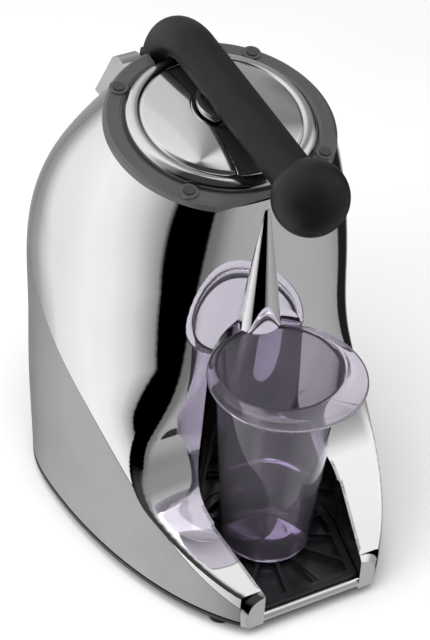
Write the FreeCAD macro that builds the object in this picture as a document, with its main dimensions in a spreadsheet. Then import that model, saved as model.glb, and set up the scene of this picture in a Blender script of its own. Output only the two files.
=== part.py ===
import FreeCAD, Part
import Sketcher
import math
import os

# Electric citrus press with a lever lid. Millimetres, +Z up, front towards -Y.
# The origin is the centre of the footprint, on the surface that the feet stand on.

Vector = FreeCAD.Vector
Rotation = FreeCAD.Rotation
Placement = FreeCAD.Placement

doc = FreeCAD.newDocument("CitrusPress")

# ---------------------------------------------------------------- driving dimensions

DIMENSIONS = {
    # housing
    "wall": 2.5,                 # thickness of the housing walls
    "seam_gap": 0.4,             # shadow gap between neighbouring housing pieces
    "foot_height": 8.0,
    "foot_radius": 8.0,
    "front_end": -150.0,         # front faces of the two prongs
    "front_face": -56.0,         # nearly flat face over the cup niche
    "corner_radius": 16.0,       # rounding between that face and the sides
    "prong_top": 33.0,           # height of the wings at their front ends
    "wing_rise": 0.47,           # slope of the wings' top faces
    "wing_sweep": 46.0,          # radius of the sweep from the wings up to the front face
    "seam_front": 22.0,          # height of the seam's plane at the front end
    "seam_slope": 0.645,         # slope of the seam over the side panels
    "rear_split": 86.0,          # side panels end here and the rear cover begins
    # cup niche
    "cup_axis": -86.0,
    "niche_foot_radius": 50.0,
    "niche_top_radius": 46.0,
    "niche_taper": 13.0,         # degrees by which the wings' inner walls close in
    "arch_spring": 158.0,
    "arch_radius": 35.0,
    "liner_wall": 2.0,
    # head: ring, bowl, lid and drive share one axis that leans forwards
    "head_y": 7.6,
    "head_z": 295.5,
    "head_tilt": 10.0,
    "ring_radius": 74.5,
    "ring_bore": 62.5,
    "ring_height": 6.0,
    "boss_circle": 68.4,
    "boss_radius": 6.0,
    "lid_radius": 61.5,
    "lid_step": 55.0,
    "lid_rise": 11.0,
    "lid_sheet": 1.2,
    "trough_half": 15.0,
    "hub_radius": 18.5,
    "bowl_radius": 59.3,
    "ledge_radius": 59.8,        # inner ledge of the ring that the bowl's lip rests on
    "ledge_top": -1.2,
    "bowl_depth": 42.0,
    "bowl_wall": 2.0,
    "sieve_radius": 47.0,
    "reamer_radius": 33.0,
    "reamer_base": -26.0,
    "reamer_height": 31.0,
    "sieve_level": -32.0,
    # spout
    "beak_radius": 15.5,
    "beak_mouth": 183.0,
    "beak_tip": 272.0,
    "beak_axis": -54.0,
    "tube_radius": 6.0,
    "tube_end": 173.5,
    # lever
    "arm_radius": 14.0,
    "arm_bend": 38.0,            # radius of the bend down to the hinge
    "arm_bend_y": 48.0,
    "arm_bend_z": 292.0,
    "arm_slope": 6.8,            # degrees
    "ball_radius": 24.0,
    "ball_y": -101.6,
    "hinge_y": 89.0,
    "hinge_z": 291.0,
    "hump_radius": 12.5,         # round top of the saddle that carries the hinge pin
    "hump_slope": 60.0,          # degrees by which the saddle's back falls away
    "pin_radius": 3.0,
    "knuckle_radius": 9.5,
    "knuckle_half": 14.0,
    "slot_half": 15.5,           # slot for the arm through ring, shell and saddle
    "slot_floor": 275.0,
    "cheek_half": 30.0,
    # cup
    "cup_floor": 18.5,
    "cup_height": 149.0,
    "cup_foot_radius": 30.0,
    "cup_rim_radius": 41.5,
    "cup_wall": 1.8,
    "flange_radius": 52.0,
    "flange_shift": 10.0,
    "flange_height": 165.0,
    "flange_thickness": 2.0,
    # tray and grid
    "tray_bottom": 11.8,
    "tray_wall": 1.6,
    "grid_top": 18.1,
    "grid_thickness": 2.2,
    # drive
    "gear_module": 1.25,
    "gear_teeth": 60,
    "pinion_teeth": 12,
    "gear_width": 9.0,
    "gear_level": -112.0,        # along the head axis
    "shaft_radius": 4.0,
    "motor_radius": 30.0,
    "motor_length": 72.0,
}

# Level sections of the housing, from the lowest up. The lowest ones are long teardrops
# that the prongs are cut from, the upper ones nearly round.
LEVEL_WORDS = ("height", "half_width", "middle", "back", "front")
LEVELS = {
    "foot": (8.0, 106.5, 28.0, 90.0, 198.5),
    "prong": (35.0, 105.5, 28.0, 101.5, 200.0),
    "hip": (66.0, 105.5, 27.5, 110.0, 187.0),
    "waist": (126.0, 103.5, 29.0, 118.3, 117.5),
    "chest": (186.0, 102.5, 31.5, 116.8, 101.5),
    "neck": (241.0, 92.0, 22.5, 104.5, 88.0),
}
for level, values in LEVELS.items():
    for word, value in zip(LEVEL_WORDS, values):
        DIMENSIONS[level + "_" + word] = value

sheet = doc.addObject("Spreadsheet::Sheet", "Dims")
for row, (alias, value) in enumerate(DIMENSIONS.items(), start=1):
    sheet.set("A%d" % row, alias)
    sheet.set("B%d" % row, str(value))
    sheet.setAlias("B%d" % row, alias)
doc.recompute()


def size(alias):
    """Value of one driving dimension, read back from the sheet."""
    return float(sheet.get(alias))


nodes = []


def node(obj, label):
    """Give a finished sub-part its own name and list it for export."""
    obj.Label = label
    nodes.append(obj)
    return obj


# ---------------------------------------------------------------- helpers

def plane(body, role):
    return next(f for f in body.Origin.OriginFeatures if f.Role == role)


def outline(body, role, points, name):
    """Closed outline of straight stretches whose corners are bound to sheet expressions."""
    sketch = body.newObject("Sketcher::SketchObject", name)
    sketch.AttachmentSupport = (plane(body, role), [""])
    sketch.MapMode = "FlatFace"
    corners = [Vector(float(sheet.evalExpression(x)), float(sheet.evalExpression(y)), 0)
               for x, y in points]
    count = len(corners)
    for i in range(count):
        sketch.addGeometry(Part.LineSegment(corners[i], corners[(i + 1) % count]), False)
    for i in range(count):
        sketch.addConstraint(Sketcher.Constraint("Coincident", i, 2, (i + 1) % count, 1))
    for i, (x, y) in enumerate(points):
        for kind, text in (("DistanceX", x), ("DistanceY", y)):
            start = corners[i].x if kind == "DistanceX" else corners[i].y
            index = sketch.addConstraint(Sketcher.Constraint(kind, -1, 1, i, 1, start))
            sketch.setExpression("Constraints[%d]" % index, dims(text))
    return sketch


def dims(text):
    """Expression over the sheet's aliases, written for an object outside the sheet."""
    words = []
    word = ""
    for letter in text + " ":
        if letter.isalnum() or letter == "_":
            word += letter
            continue
        words.append("Dims." + word if word in DIMENSIONS else word)
        words.append(letter)
        word = ""
    return "".join(words).strip()


def circle(body, role, radius, name, x="0", y="0"):
    """Round outline with its radius and centre bound to the sheet."""
    sketch = body.newObject("Sketcher::SketchObject", name)
    sketch.AttachmentSupport = (plane(body, role), [""])
    sketch.MapMode = "FlatFace"
    values = [float(sheet.evalExpression(text)) for text in (radius, x, y)]
    sketch.addGeometry(Part.Circle(Vector(values[1], values[2], 0), Vector(0, 0, 1), values[0]), False)
    bindings = (
        (Sketcher.Constraint("Radius", 0, values[0]), radius),
        (Sketcher.Constraint("DistanceX", -1, 1, 0, 3, values[1]), x),
        (Sketcher.Constraint("DistanceY", -1, 1, 0, 3, values[2]), y),
    )
    for constraint, text in bindings:
        index = sketch.addConstraint(constraint)
        sketch.setExpression("Constraints[%d]" % index, dims(text))
    return sketch


def turned(label, points, placement=Placement()):
    """Body of revolution about its own Z axis, from (radius, height) corners."""
    body = doc.addObject("PartDesign::Body", label)
    sketch = outline(body, "XZ_Plane", points, label + "_profile")
    turn = body.newObject("PartDesign::Revolution", label + "_turn")
    turn.Profile = sketch
    turn.ReferenceAxis = (sketch, ["V_Axis"])
    turn.Angle = 360
    body.Placement = placement
    doc.recompute()
    return body


def padded(label, sketch_maker, height, placement=Placement()):
    """Body padded upwards from an outline in its own XY plane."""
    body = doc.addObject("PartDesign::Body", label)
    sketch = sketch_maker(body)
    pad = body.newObject("PartDesign::Pad", label + "_pad")
    pad.Profile = sketch
    pad.setExpression("Length", dims(height))
    body.Placement = placement
    doc.recompute()
    return body


def cylinder(label, radius, height, placement=Placement()):
    """Round bar on its own Z axis with both sizes bound to the sheet."""
    bar = doc.addObject("Part::Cylinder", label)
    bar.setExpression("Radius", dims(radius))
    bar.setExpression("Height", dims(height))
    bar.Placement = placement
    return bar


def box(label, length, width, height, placement=Placement()):
    """Rectangular block with its three sizes bound to the sheet."""
    block = doc.addObject("Part::Box", label)
    block.setExpression("Length", dims(length))
    block.setExpression("Width", dims(width))
    block.setExpression("Height", dims(height))
    block.Placement = placement
    return block


def combine(kind, label, parts):
    """Boolean of finished objects: MultiFuse, MultiCommon, or Cut of a base and one tool."""
    result = doc.addObject("Part::" + kind, label)
    if kind == "Cut":
        result.Base, result.Tool = parts
    else:
        result.Shapes = parts
    doc.recompute()
    return result


def group(label, parts):
    """Several separate, identical solids as one node."""
    result = doc.addObject("Part::Compound", label)
    result.Links = parts
    doc.recompute()
    return result


def shaped(label, shape):
    """Node whose surface is built directly, for free-form sheets and shells."""
    feature = doc.addObject("Part::Feature", label)
    feature.Shape = shape
    return feature


def at(x, y, z, axis=Vector(0, 0, 1), degrees=0):
    return Placement(Vector(x, y, z), Rotation(axis, degrees))


def on_head(u, v, w):
    """Place in the leaning frame of the ring, bowl and drive."""
    frame = at(0, size("head_y"), size("head_z"), Vector(1, 0, 0), size("head_tilt"))
    return frame.multiply(at(u, v, w))


def block_shape(x0, x1, y0, y1, z0, z1):
    return Part.makeBox(x1 - x0, y1 - y0, z1 - z0, Vector(x0, y0, z0))


FAR = 400.0   # longer than the whole machine, for cutting tools

# ---------------------------------------------------------------- egg-shaped housing

SECTION_POINTS = 32
FULLNESS = 2.35           # exponent of the rear half: a little squarer than an ellipse


def section(place, half_width, back, front, exponent=FULLNESS):
    """Closed smooth outline: half an ellipse in front, a slightly fuller half behind."""
    points = []
    for step in range(SECTION_POINTS):
        angle = 2 * math.pi * step / SECTION_POINTS
        across, along = math.cos(angle), math.sin(angle)
        if along > 0:
            across = math.copysign(abs(across) ** (2 / exponent), across)
            along = along ** (2 / exponent)
        reach = back if along > 0 else front
        points.append(place.multVec(Vector(half_width * across, reach * along, 0)))
    curve = Part.BSplineCurve()
    curve.interpolate(Points=points, PeriodicFlag=True)
    return Part.Wire([curve.toShape()])


def egg(inset, top_lift):
    """The whole housing as a solid, drawn in by inset, ending at or above the leaning ring plane."""
    wires = []
    for level in LEVELS:
        height, half_width, middle, back, front = (size(level + "_" + word) for word in LEVEL_WORDS)
        wires.append(section(at(0, middle, height), half_width - inset, back - inset, front - inset))
    ring = size("ring_radius") - inset
    wires.append(section(on_head(0, 0, -size("ring_height") / 2 + top_lift), ring, ring, ring, 2))
    return Part.makeLoft(wires, True, False)


def front_profile(offset):
    """Solid behind the front face and under the wings' tops, long in X.

    From the prongs the top line climbs at the wing slope, sweeps up through a round
    and goes on upright as the front face. A positive offset draws it inwards.
    """
    slope = math.atan(size("wing_rise"))
    radius = size("wing_sweep") + offset
    face_y = size("front_face") + offset
    start = Vector(0, size("front_end"), size("prong_top") - offset / math.cos(slope))
    # The round touches the slope line and the upright face; its centre is in front of the face.
    centre_y = face_y - radius
    line_z = start.z + (centre_y - start.y) * math.tan(slope)
    centre = Vector(0, centre_y, line_z + radius / math.cos(slope))
    turn = math.pi / 2 - slope
    touch = centre + Vector(0, math.sin(slope), -math.cos(slope)) * radius
    halfway = slope + turn / 2
    middle = centre + Vector(0, math.sin(halfway), -math.cos(halfway)) * radius
    upright = centre + Vector(0, radius, 0)
    ahead = Vector(0, start.y - FAR, start.z - FAR * math.tan(slope))
    top = Vector(0, face_y, FAR)
    edges = [
        Part.LineSegment(ahead, touch).toShape(),
        Part.Arc(touch, middle, upright).toShape(),
        Part.LineSegment(upright, top).toShape(),
        Part.LineSegment(top, Vector(0, FAR, FAR)).toShape(),
        Part.LineSegment(Vector(0, FAR, FAR), Vector(0, FAR, -FAR)).toShape(),
        Part.LineSegment(Vector(0, FAR, -FAR), Vector(0, ahead.y, -FAR)).toShape(),
        Part.LineSegment(Vector(0, ahead.y, -FAR), ahead).toShape(),
    ]
    face = Part.Face(Part.Wire(edges))
    face.translate(Vector(-FAR / 2, 0, 0))
    return face.extrude(Vector(FAR, 0, 0))


def rounded_front(solid, face_y, radius):
    """Round the two upright corners between the flat front face and the sides."""
    corners = []
    for edge in solid.Edges:
        reach = edge.BoundBox
        flat = abs(reach.YMin - face_y) < 0.5 and abs(reach.YMax - face_y) < 0.5
        if flat and reach.ZLength > size("arch_radius"):
            corners.append(edge)
    return solid.makeFillet(radius, corners)


def niche_solid(grow):
    """Room for the cup: tapered round well, arched top, and the gap between the wings."""
    foot = size("niche_foot_radius") + grow
    crown = size("niche_top_radius") + grow
    spring = size("arch_spring")
    well = Part.makeCone(foot, crown, spring, Vector(0, size("cup_axis"), 0))
    drum = Part.makeCylinder(crown, FAR, Vector(0, size("cup_axis"), spring))
    arch = Part.makeCylinder(size("arch_radius") + grow, FAR, Vector(0, -FAR / 2, spring), Vector(0, 1, 0))
    taper = math.radians(size("niche_taper"))
    side = Vector(foot * math.cos(taper), size("cup_axis") - foot * math.sin(taper), 0)
    length = side.y + FAR
    nose = Vector(side.x - length * math.tan(taper), -FAR, 0)
    if nose.x < 0:
        nose = Vector(0.001, side.y - side.x / math.tan(taper), 0)
    corners = [side, nose, Vector(-nose.x, nose.y, 0), Vector(-side.x, side.y, 0), side]
    gap = Part.Face(Part.makePolygon(corners)).extrude(Vector(0, 0, spring))
    return well.fuse([drum.common(arch), gap])


def seam_cutter(lift):
    """Everything above the slanting seam that parts the chrome shell from the side panels."""
    slope = size("seam_slope")
    front_z = size("seam_front") + lift - FAR * slope
    back_z = size("seam_front") + lift + FAR * slope
    corners = [
        Vector(0, size("front_end") - FAR, front_z),
        Vector(0, size("front_end") + FAR, back_z),
        Vector(0, size("front_end") + FAR, 2 * FAR),
        Vector(0, size("front_end") - FAR, 2 * FAR),
        Vector(0, size("front_end") - FAR, front_z),
    ]
    face = Part.Face(Part.makePolygon(corners))
    face.translate(Vector(-FAR / 2, 0, 0))
    return face.extrude(Vector(FAR, 0, 0))


wall = size("wall")
gap = size("seam_gap")
trim_depth = 4.0          # thickness of the front trim, from the prongs' front faces
prong_cut = size("front_end") + trim_depth

inner_front = front_profile(wall)
corner = size("corner_radius")
body_outside = rounded_front(egg(0, 0).common(front_profile(0)), size("front_face"), corner)
hollow = rounded_front(egg(wall, 0.5).common(inner_front), size("front_face") + wall, corner - wall)
behind_trim = block_shape(-FAR, FAR, prong_cut + gap, FAR, -FAR, FAR)
niche_out = niche_solid(size("liner_wall"))
niche_in = niche_solid(0)
skin = body_outside.cut(hollow).cut(niche_out).common(behind_trim)

# The chrome shell is the skin above the seam with the whole front sheet: face, sweep and wing tops.
everything = block_shape(-FAR / 2, FAR / 2, -FAR, FAR, -FAR, FAR)
front_zone = everything.cut(inner_front)
chrome = skin.common(seam_cutter(gap).fuse(front_zone))
panels = skin.cut(seam_cutter(0)).common(front_profile(wall + gap))
rear_zone = block_shape(-FAR, FAR, size("rear_split") + gap, FAR, -FAR, FAR)
side_zone = block_shape(gap / 2, FAR, -FAR, size("rear_split"), -FAR, FAR)
pan_top = size("foot_height") + wall
over_pan = block_shape(-FAR, FAR, -FAR, FAR, pan_top, FAR)
liner = niche_out.cut(niche_in).common(body_outside).common(behind_trim).common(over_pan)
chin = block_shape(-FAR, FAR, -FAR, FAR, -FAR, size("foot_height") + wall + 1.5)

# ---------------------------------------------------------------- spout

BEAK_TIP_RADIUS = 2.6


def beak(shrink):
    """Half cone that widens downwards to the spout's mouth."""
    height = size("beak_tip") - size("beak_mouth") - shrink
    mouth = Vector(0, size("beak_axis"), size("beak_mouth"))
    return Part.makeCone(size("beak_radius") - shrink, BEAK_TIP_RADIUS - shrink / 2, height, mouth)


TUBE_TOP = Vector(0, -38.0, 247.0)                    # under the front of the bowl
TUBE_FOOT = Vector(0, -56.5, size("tube_end"))         # hangs below the beak's mouth
tube_axis = TUBE_TOP - TUBE_FOOT


def tube_bar(radius, low, high):
    """Round bar on the spout tube's axis, between two distances from its lower end."""
    unit = Vector(tube_axis).normalize()
    return Part.makeCylinder(radius, high - low, TUBE_FOOT + unit * low, unit)


tube_hole = tube_bar(size("tube_radius") + 0.4, 0, tube_axis.Length)
beak_shell = beak(0).cut(beak(1.6).fuse(Part.makeCylinder(
    size("beak_radius") - 1.6, 2, Vector(0, size("beak_axis"), size("beak_mouth") - 1))))
beak_shell = beak_shell.cut(block_shape(-FAR, FAR, size("front_face"), FAR, -FAR, FAR)).cut(tube_hole)
chrome = chrome.cut(tube_hole)
liner = liner.cut(tube_hole)

# ---------------------------------------------------------------- hinge saddle behind the ring

hinge_y = size("hinge_y")
hinge_z = size("hinge_z")
cheek = size("cheek_half")
slot_half = size("slot_half")
slot_floor = size("slot_floor")
hinge_axis = Vector(1, 0, 0)
SADDLE_FOOT = 16.0        # depth of the saddle under the floor of its slot


def across(radius, half, y, z):
    """Round bar along X, centred on the machine's middle plane."""
    return Part.makeCylinder(radius, 2 * half, Vector(-half, y, z), hinge_axis)


def hump(grow):
    """Wedge with a round top that closes the back of the head and carries the hinge pin."""
    half = cheek + grow
    radius = size("hump_radius") + grow
    lean = math.radians(size("hump_slope"))
    touch = Vector(-half, hinge_y + radius * math.sin(lean), hinge_z + radius * math.cos(lean))
    low = slot_floor - SADDLE_FOOT - grow
    heel = Vector(-half, touch.y + (touch.z - low) / math.tan(lean), low)
    front = hinge_y - radius
    corners = [
        Vector(-half, front, hinge_z),
        touch,
        heel,
        Vector(-half, front, low),
        Vector(-half, front, hinge_z),
    ]
    wedge = Part.Face(Part.makePolygon(corners)).extrude(Vector(2 * half, 0, 0))
    return wedge.fuse(across(radius, half, hinge_y, hinge_z))


SADDLE_PLAY = 0.2
under_ring = Part.makeCylinder(size("ring_radius") + 0.5, FAR)
under_ring.Placement = on_head(0, 0, -size("ring_height") / 2 - SADDLE_PLAY)
bowl_room = Part.makeCylinder(size("ring_radius") - wall, FAR)
bowl_room.Placement = on_head(0, 0, -FAR / 2)
arm_slot = block_shape(-slot_half, slot_half, size("head_y"), FAR, slot_floor, FAR)
saddle = hump(0).cut(under_ring.fuse(bowl_room)).cut(arm_slot)
saddle = saddle.cut(across(size("pin_radius"), cheek + 1, hinge_y, hinge_z))
chrome = chrome.cut(hump(SADDLE_PLAY)).cut(arm_slot)
chrome = max(chrome.Solids, key=lambda solid: solid.Volume)

# ---------------------------------------------------------------- housing nodes

node(shaped("ChromeShell", chrome), "chrome_shell")
node(shaped("NicheLiner", liner), "niche_liner")
node(shaped("SpoutBeak", beak_shell), "spout_beak")
node(shaped("HingeSaddle", saddle), "hinge_saddle")
node(shaped("RearCover", panels.common(rear_zone).cut(chin)), "rear_cover")
right_panel = panels.common(side_zone).cut(chin)
left_panel = right_panel.mirror(Vector(0, 0, 0), Vector(1, 0, 0))
node(shaped("RightPanel", right_panel), "side_panel_right")
node(shaped("LeftPanel", left_panel), "side_panel_left")

# Floor pan across the whole footprint, under the panels' lower edges.
pan_slab = block_shape(-FAR, FAR, prong_cut, FAR, size("foot_height"), pan_top)
pan = body_outside.common(pan_slab)
node(shaped("FloorPan", pan), "floor_pan")

# Front trim: the prongs' end faces joined by a low rounded bar in front of the tray.
trim_slab = block_shape(-FAR, FAR, size("front_end"), prong_cut, -FAR, FAR)
bar_top = size("tray_bottom") + 3.2
bar_radius = (bar_top - size("foot_height")) / 2
between_prongs = niche_in.common(trim_slab)
BAR_REACH = 38.0          # half length, into both prongs
bar = across(bar_radius, BAR_REACH, size("front_end") + bar_radius, size("foot_height") + bar_radius)
trim = body_outside.common(trim_slab).cut(between_prongs).fuse(bar.common(trim_slab))
node(shaped("FrontTrim", trim), "front_trim")

# Spout tube of clear plastic inside the beak.
tube = tube_bar(size("tube_radius"), 0, tube_axis.Length).cut(
    tube_bar(size("tube_radius") - 1.4, -1, tube_axis.Length + 1))
node(shaped("SpoutTube", tube), "spout_tube")

FEET = ((54, -124), (-54, -124), (66, 66), (-66, 66))
feet = [cylinder("Foot%d" % i, "foot_radius", "foot_height", at(x, y, 0))
        for i, (x, y) in enumerate(FEET)]
node(group("RubberFeet", feet), "rubber_feet")

# ---------------------------------------------------------------- splash ring

face_cut = block_shape(-FAR, FAR, -FAR, size("front_face"), -FAR, FAR)
ring = turned("RingTurn", [
    ("ledge_radius", "-ring_height / 2"),
    ("ring_radius", "-ring_height / 2"),
    ("ring_radius", "ring_height / 2 - 1.5"),
    ("ring_radius - 2", "ring_height / 2"),
    ("ring_bore + 2", "ring_height / 2"),
    ("ring_bore", "ring_height / 2 - 1"),
    ("ring_bore", "ledge_top"),
    ("ledge_radius", "ledge_top"),
], on_head(0, 0, 0))
BOSS_ANGLES = (45, 135, 225, 315)


def boss_spot(angle, w):
    turn = math.radians(angle)
    reach = size("boss_circle")
    return on_head(reach * math.cos(turn), reach * math.sin(turn), w)


ring_shape = ring.Shape.copy()
for angle in BOSS_ANGLES:
    boss = Part.makeCylinder(size("boss_radius"), 1.6)
    boss.Placement = boss_spot(angle, size("ring_height") / 2 - 0.2)
    ring_shape = ring_shape.fuse(boss)
for angle in BOSS_ANGLES:
    hole = Part.makeCylinder(2.2, 20)
    hole.Placement = boss_spot(angle, -10)
    ring_shape = ring_shape.cut(hole)
node(shaped("SplashRing", ring_shape.cut(face_cut).cut(arm_slot)), "splash_ring")
screws = []
for i, angle in enumerate(BOSS_ANGLES):
    shank_place = boss_spot(angle, -size("ring_height") / 2)
    shank = cylinder("RingScrewShank%d" % i, "2.2", "ring_height + 1.4", shank_place)
    head = cylinder("RingScrewHead%d" % i, "3.8", "1.2", boss_spot(angle, size("ring_height") / 2 + 1.4))
    screws.append(combine("MultiFuse", "RingScrew%d" % i, [shank, head]))
node(group("RingScrews", screws), "ring_screws")

# ---------------------------------------------------------------- bowl, sieve and reamer

bowl = turned("JuiceBowl", [
    ("6", "-bowl_depth"),
    ("bowl_radius - 12", "-bowl_depth"),
    ("bowl_radius", "-bowl_depth + 14"),
    ("bowl_radius", "ledge_top"),
    ("ring_bore - 0.3", "ledge_top"),
    ("ring_bore - 0.3", "ledge_top + bowl_wall"),
    ("bowl_radius - bowl_wall", "ledge_top + bowl_wall"),
    ("bowl_radius - bowl_wall", "-bowl_depth + 15"),
    ("bowl_radius - 13", "-bowl_depth + bowl_wall"),
    ("8", "-bowl_depth + bowl_wall"),
    ("8", "-bowl_depth + 12"),
    ("6", "-bowl_depth + 12"),
], on_head(0, 0, 0))
bowl_shape = bowl.Shape.cut(tube_bar(size("tube_radius") - 1.4, 20, tube_axis.Length + 20))
bowl_shape = bowl_shape.cut(tube_bar(size("tube_radius") + 0.4, 0, tube_axis.Length))
node(shaped("BowlWithOutlet", bowl_shape), "juice_bowl")

sieve = turned("SieveDisc", [
    ("10", "sieve_level"),
    ("sieve_radius", "sieve_level"),
    ("bowl_radius - bowl_wall - 0.3", "sieve_level + 9"),
    ("bowl_radius - bowl_wall - 0.3", "sieve_level + 10.5"),
    ("sieve_radius - 0.5", "sieve_level + 1.5"),
    ("10", "sieve_level + 1.5"),
], on_head(0, 0, 0))
SLOT_RINGS = ((18, 10), (28, 14), (38, 18))
sieve_shape = sieve.Shape.copy()
slots = []
for radius, count in SLOT_RINGS:
    for i in range(count):
        slot_bar = block_shape(-0.9, 0.9, radius - 3.5, radius + 3.5, size("sieve_level") - 2, -26)
        slot_bar.rotate(Vector(0, 0, 0), Vector(0, 0, 1), 360.0 * i / count)
        slot_bar.Placement = on_head(0, 0, 0).multiply(slot_bar.Placement)
        slots.append(slot_bar)
node(shaped("Sieve", sieve_shape.cut(Part.makeCompound(slots))), "sieve")

REAMER_RIBS = 8


def reamer_shape():
    """Ogive cone with raised ribs that run up to its point."""
    radius = size("reamer_radius")
    height = size("reamer_height")
    base = size("reamer_base")
    low = Vector(radius - 4, 0, base)
    tip = Vector(1.5, 0, base + height)
    bulge = Vector(radius * 0.62, 0, base + height * 0.6)
    core = [
        Part.LineSegment(Vector(0, 0, base), low).toShape(),
        Part.Arc(low, bulge, tip).toShape(),
        Part.LineSegment(tip, Vector(0, 0, base + height)).toShape(),
        Part.LineSegment(Vector(0, 0, base + height), Vector(0, 0, base)).toShape(),
    ]
    body = Part.Face(Part.Wire(core)).revolve(Vector(0, 0, 0), Vector(0, 0, 1), 360)
    rib_low = Vector(radius, 0, base)
    rib_bulge = Vector(radius * 0.62 + 3.5, 0, base + height * 0.62)
    rib_tip = Vector(2.2, 0, base + height + 0.6)
    rib = Part.Face(Part.Wire([
        Part.LineSegment(Vector(0.5, 0, base), rib_low).toShape(),
        Part.Arc(rib_low, rib_bulge, rib_tip).toShape(),
        Part.LineSegment(rib_tip, Vector(0.5, 0, base + height - 2)).toShape(),
        Part.LineSegment(Vector(0.5, 0, base + height - 2), Vector(0.5, 0, base)).toShape(),
    ]))
    rib.translate(Vector(0, -1.1, 0))
    rib_solid = rib.extrude(Vector(0, 2.2, 0))
    ribs = []
    for i in range(REAMER_RIBS):
        copy = rib_solid.copy()
        copy.rotate(Vector(0, 0, 0), Vector(0, 0, 1), 360.0 * i / REAMER_RIBS)
        ribs.append(copy)
    flange = Part.makeCylinder(radius + 2, 1.6, Vector(0, 0, base - 1.6))
    hub = Part.makeCylinder(7, 5, Vector(0, 0, base - 1.6))
    return body.fuse(ribs + [flange, hub])


reamer = reamer_shape()
socket_top = size("reamer_base") + 16
reamer = reamer.cut(Part.makeCylinder(size("shaft_radius"), FAR, Vector(0, 0, socket_top - FAR)))
reamer.Placement = on_head(0, 0, 0)
node(shaped("Reamer", reamer), "reamer_cone")

# ---------------------------------------------------------------- drive

gear_level = size("gear_level")
centre_distance = size("gear_module") * (size("gear_teeth") + size("pinion_teeth")) / 2


def toothed(teeth, width, bore, phase):
    """Spur gear with slim tapered teeth that leave backlash in the mesh."""
    module = size("gear_module")
    pitch = module * teeth / 2
    root = pitch - 1.2 * module
    tip = pitch + 0.75 * module
    root_half = 0.30 * math.pi * module
    tip_half = 0.13 * math.pi * module
    tooth = Part.Face(Part.makePolygon([
        Vector(-root_half, root - 0.4, 0),
        Vector(root_half, root - 0.4, 0),
        Vector(tip_half, tip, 0),
        Vector(-tip_half, tip, 0),
        Vector(-root_half, root - 0.4, 0),
    ])).extrude(Vector(0, 0, width))
    shapes = []
    for i in range(teeth):
        copy = tooth.copy()
        copy.rotate(Vector(0, 0, 0), Vector(0, 0, 1), 360.0 * (i + phase) / teeth)
        shapes.append(copy)
    gear = Part.makeCylinder(root, width).fuse(shapes)
    return gear.cut(Part.makeCylinder(bore, width + 2, Vector(0, 0, -1)))


shaft_bottom = gear_level - 22
shaft_length = "reamer_base + 16 - gear_level + 22"
shaft = cylinder("DriveShaft", "shaft_radius", shaft_length, on_head(0, 0, shaft_bottom))
node(shaft, "drive_shaft")
gear = toothed(int(size("gear_teeth")), size("gear_width"), size("shaft_radius"), 0)
gear.Placement = on_head(0, 0, gear_level)
node(shaped("DriveGear", gear), "drive_gear")
pinion = toothed(int(size("pinion_teeth")), size("gear_width"), 2.5, 0.5)
pinion.Placement = on_head(0, centre_distance, gear_level)
node(shaped("MotorPinion", pinion), "motor_pinion")

motor_top = gear_level - 12
motor_base = on_head(0, centre_distance, motor_top - size("motor_length"))
node(cylinder("MotorShaft", "2.5", "motor_length + 12 + gear_width",
              on_head(0, centre_distance, motor_top - size("motor_length"))), "motor_shaft")
can = cylinder("MotorCanBody", "motor_radius", "motor_length", motor_base)
can_bore = cylinder("MotorCanBore", "2.8", "motor_length + 4",
                    on_head(0, centre_distance, motor_top - size("motor_length") - 2))
node(combine("Cut", "MotorCan", [can, can_bore]), "motor_can")

# Gearbox: a lower plate that carries the motor, an upper plate under the bowl, and a wall between.
PLATE_HALF = 50.0


def gear_plate(low, thickness, holes):
    """Rounded plate over both gear axes with a round hole on each."""
    plate = Part.makeCylinder(PLATE_HALF, thickness, Vector(0, 0, low))
    plate = plate.fuse(Part.makeCylinder(24, thickness, Vector(0, centre_distance, low))).removeSplitter()
    for v, radius in holes:
        plate = plate.cut(Part.makeCylinder(radius, thickness + 2, Vector(0, v, low - 1)))
    plate.Placement = on_head(0, 0, 0)
    return plate


bush_radius = size("shaft_radius") + 3
plate_low = gear_level - 6
plate_high = gear_level + size("gear_width") + 3
lower_plate = gear_plate(plate_low - 5.9, 3, ((0, bush_radius), (centre_distance, 5)))
upper_plate = gear_plate(plate_high, 3, ((0, bush_radius), (centre_distance, 5)))
rim = gear_plate(plate_low - 2.8, plate_high - plate_low + 2.7, ())
inner_rim = Part.makeCylinder(PLATE_HALF - 2, FAR, Vector(0, 0, -FAR))
inner_rim = inner_rim.fuse(Part.makeCylinder(22, FAR, Vector(0, centre_distance, -FAR)))
inner_rim.Placement = on_head(0, 0, 0)
node(shaped("GearboxBase", lower_plate), "gearbox_base")
node(shaped("GearboxLid", upper_plate), "gearbox_lid")
node(shaped("GearboxWall", rim.cut(inner_rim)), "gearbox_wall")

bushes = []
for i, low in enumerate((plate_low - 5.9, plate_high)):
    sleeve = cylinder("BushSleeve%d" % i, "shaft_radius + 3", "3", on_head(0, 0, low))
    bore = cylinder("BushBore%d" % i, "shaft_radius + 0.05", "8", on_head(0, 0, low - 2))
    bushes.append(combine("Cut", "Bush%d" % i, [sleeve, bore]))
node(group("DriveBushes", bushes), "drive_bushes")

# Four legs that stand on the floor pan and carry the gearbox.
LEG_SPOTS = ((-38, 10), (38, 10), (-40, 44), (40, 44))
legs = []
for i, (x, y) in enumerate(LEG_SPOTS):
    leg = Part.makeCylinder(5, FAR, Vector(x, y, pan_top))
    cover = Part.makeCylinder(FAR, FAR)
    cover.Placement = on_head(0, 0, plate_low - 5.9)
    legs.append(leg.cut(cover))
node(shaped("GearboxLegs", Part.makeCompound(legs)), "gearbox_legs")

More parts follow.
